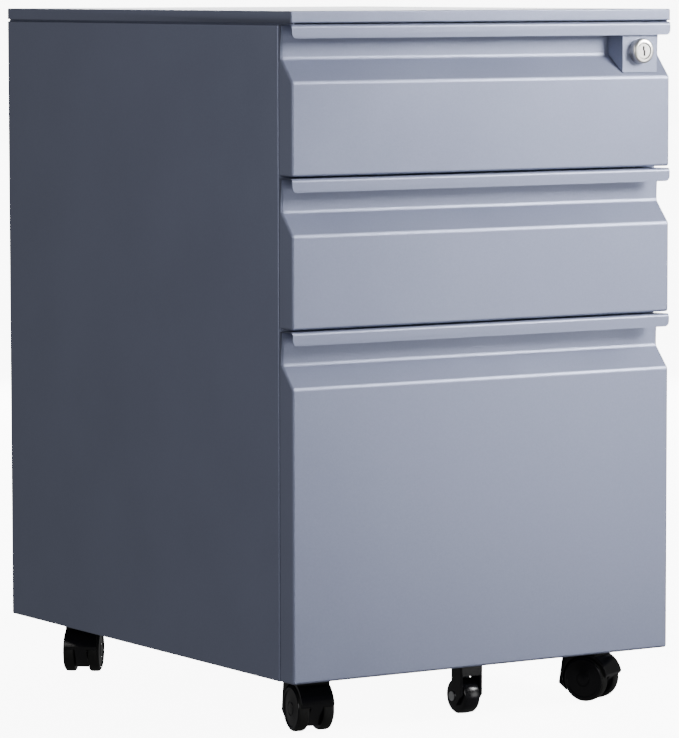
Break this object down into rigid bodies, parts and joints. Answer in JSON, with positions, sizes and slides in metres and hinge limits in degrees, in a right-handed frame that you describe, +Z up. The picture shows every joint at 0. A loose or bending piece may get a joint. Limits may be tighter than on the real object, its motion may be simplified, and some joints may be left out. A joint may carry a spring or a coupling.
{
  "type": "rolling pedestal cabinet",
  "caption": "Steel under-desk pedestal on casters, with box drawers over a file drawer, a gang lock and an anti-tip wheel.",
  "frame": {"origin": "on the floor, at the middle of the cabinet's footprint", "axes": "+Z up, +X to the right of someone facing the drawers, +Y towards the back"},
  "size_m": [0.39, 0.504, 0.614],
  "materials": {
    "paint": "bluish silver-grey powder coat, fine orange peel, satin",
    "inner_paint": "the same powder coat inside, thinner",
    "zinc": "bright zinc plate",
    "lock_metal": "nickel-plated, polished",
    "hood_plastic": "black nylon, glossy",
    "wheel_plastic": "black nylon wheel, softer tread"
  },
  "bodies": {
    "carcass": {"top_panel": "paint", "side_panel_left": "paint", "side_panel_right": "paint", "back_panel": "paint", "bottom_panel": "inner_paint", "top_front_rail": "inner_paint", "rear_post_left": "zinc", "rear_post_right": "zinc", "slide_1_outer_left": "zinc", "slide_1_outer_right": "zinc", "slide_2_outer_left": "zinc", "slide_2_outer_right": "zinc", "slide_3_outer_left": "zinc", "slide_3_outer_right": "zinc", "caster_front_left_stem": "zinc", "caster_front_right_stem": "zinc", "caster_rear_left_stem": "zinc", "caster_rear_right_stem": "zinc"},
    "drawer_1": {"drawer_1_front": "paint", "drawer_1_box": "inner_paint", "slide_1_inner_left": "zinc", "slide_1_inner_right": "zinc", "lock_housing": "paint", "lock_barrel": "lock_metal"},
    "drawer_2": {"drawer_2_front": "paint", "drawer_2_box": "inner_paint", "slide_2_inner_left": "zinc", "slide_2_inner_right": "zinc"},
    "drawer_3": {"drawer_3_front": "paint", "drawer_3_box": "inner_paint", "slide_3_inner_left": "zinc", "slide_3_inner_right": "zinc", "file_rail_left": "zinc", "file_rail_right": "zinc", "fifth_caster_bracket": "hood_plastic", "fifth_caster_axle": "zinc"},
    "drawer_3_slide": {"slide_3_middle_left": "zinc", "slide_3_middle_right": "zinc"},
    "fifth_caster": {"fifth_caster_wheel": "wheel_plastic"},
    "lock": {"lock_plug": "lock_metal", "lock_cam": "zinc"},
    "lock_bar": {"lock_bar": "zinc"},
    "caster_front_left": {"caster_front_left_hood": "hood_plastic", "caster_front_left_axle": "zinc"},
    "caster_front_left_wheel_a": {"caster_front_left_wheel_a": "wheel_plastic"},
    "caster_front_left_wheel_b": {"caster_front_left_wheel_b": "wheel_plastic"},
    "caster_front_right": {"caster_front_right_hood": "hood_plastic", "caster_front_right_axle": "zinc"},
    "caster_front_right_wheel_a": {"caster_front_right_wheel_a": "wheel_plastic"},
    "caster_front_right_wheel_b": {"caster_front_right_wheel_b": "wheel_plastic"},
    "caster_rear_left": {"caster_rear_left_hood": "hood_plastic", "caster_rear_left_axle": "zinc"},
    "caster_rear_left_wheel_a": {"caster_rear_left_wheel_a": "wheel_plastic"},
    "caster_rear_left_wheel_b": {"caster_rear_left_wheel_b": "wheel_plastic"},
    "caster_rear_right": {"caster_rear_right_hood": "hood_plastic", "caster_rear_right_axle": "zinc"},
    "caster_rear_right_wheel_a": {"caster_rear_right_wheel_a": "wheel_plastic"},
    "caster_rear_right_wheel_b": {"caster_rear_right_wheel_b": "wheel_plastic"}
  },
  "joints": [
    {"name": "drawer_1_pull", "type": "slide", "parent": "carcass", "child": "drawer_1", "axis": [0, -1, 0], "range_m": [0, 0.32]},
    {"name": "drawer_2_pull", "type": "slide", "parent": "carcass", "child": "drawer_2", "axis": [0, -1, 0], "range_m": [0, 0.32]},
    {"name": "drawer_3_pull", "type": "slide", "parent": "carcass", "child": "drawer_3", "axis": [0, -1, 0], "range_m": [0, 0.41]},
    {"name": "drawer_3_slide_run", "type": "slide", "parent": "carcass", "child": "drawer_3_slide", "axis": [0, -1, 0], "range_m": [0, 0.205]},
    {"name": "lock_turn", "type": "hinge", "parent": "drawer_1", "child": "lock", "pos_m": [0.164, -0.228, 0.5774], "axis": [0, -1, 0], "range_deg": [0, 90]},
    {"name": "lock_bar_lift", "type": "slide", "parent": "carcass", "child": "lock_bar", "axis": [0, 0, 1], "range_m": [0, 0.008]},
    {"name": "fifth_caster_roll", "type": "hinge", "parent": "drawer_3", "child": "fifth_caster", "pos_m": [0, -0.214, 0.02], "axis": [1, 0, 0], "continuous": true},
    {"name": "caster_front_left_swivel", "type": "hinge", "parent": "carcass", "child": "caster_front_left", "pos_m": [-0.145, -0.184, 0.035], "axis": [0, 0, 1], "continuous": true},
    {"name": "caster_front_left_roll_a", "type": "hinge", "parent": "caster_front_left", "child": "caster_front_left_wheel_a", "pos_m": [-0.14708, -0.19582, 0.02], "axis": [0.9848, -0.1736, 0], "continuous": true},
    {"name": "caster_front_left_roll_b", "type": "hinge", "parent": "caster_front_left", "child": "caster_front_left_wheel_b", "pos_m": [-0.14708, -0.19582, 0.02], "axis": [0.9848, -0.1736, 0], "continuous": true},
    {"name": "caster_front_right_swivel", "type": "hinge", "parent": "carcass", "child": "caster_front_right", "pos_m": [0.145, -0.184, 0.035], "axis": [0, 0, 1], "continuous": true},
    {"name": "caster_front_right_roll_a", "type": "hinge", "parent": "caster_front_right", "child": "caster_front_right_wheel_a", "pos_m": [0.15063, -0.19459, 0.02], "axis": [0.8829, 0.4695, 0], "continuous": true},
    {"name": "caster_front_right_roll_b", "type": "hinge", "parent": "caster_front_right", "child": "caster_front_right_wheel_b", "pos_m": [0.15063, -0.19459, 0.02], "axis": [0.8829, 0.4695, 0], "continuous": true},
    {"name": "caster_rear_left_swivel", "type": "hinge", "parent": "carcass", "child": "caster_rear_left", "pos_m": [-0.145, 0.201, 0.035], "axis": [0, 0, 1], "continuous": true},
    {"name": "caster_rear_left_roll_a", "type": "hinge", "parent": "caster_rear_left", "child": "caster_rear_left_wheel_a", "pos_m": [-0.15239, 0.19154, 0.02], "axis": [0.788, -0.6157, 0], "continuous": true},
    {"name": "caster_rear_left_roll_b", "type": "hinge", "parent": "caster_rear_left", "child": "caster_rear_left_wheel_b", "pos_m": [-0.15239, 0.19154, 0.02], "axis": [0.788, -0.6157, 0], "continuous": true},
    {"name": "caster_rear_right_swivel", "type": "hinge", "parent": "carcass", "child": "caster_rear_right", "pos_m": [0.145, 0.201, 0.035], "axis": [0, 0, 1], "continuous": true},
    {"name": "caster_rear_right_roll_a", "type": "hinge", "parent": "caster_rear_right", "child": "caster_rear_right_wheel_a", "pos_m": [0.15419, 0.20871, 0.02], "axis": [-0.6428, 0.766, 0], "continuous": true},
    {"name": "caster_rear_right_roll_b", "type": "hinge", "parent": "caster_rear_right", "child": "caster_rear_right_wheel_b", "pos_m": [0.15419, 0.20871, 0.02], "axis": [-0.6428, 0.766, 0], "continuous": true}
  ],
  "couplings": [
    {"joint": "drawer_3_slide_run", "follows": "drawer_3_pull", "ratio": 0.5},
    {"joint": "lock_turn", "follows": "lock_bar_lift", "rad_per_m": 196.35}
  ]
}
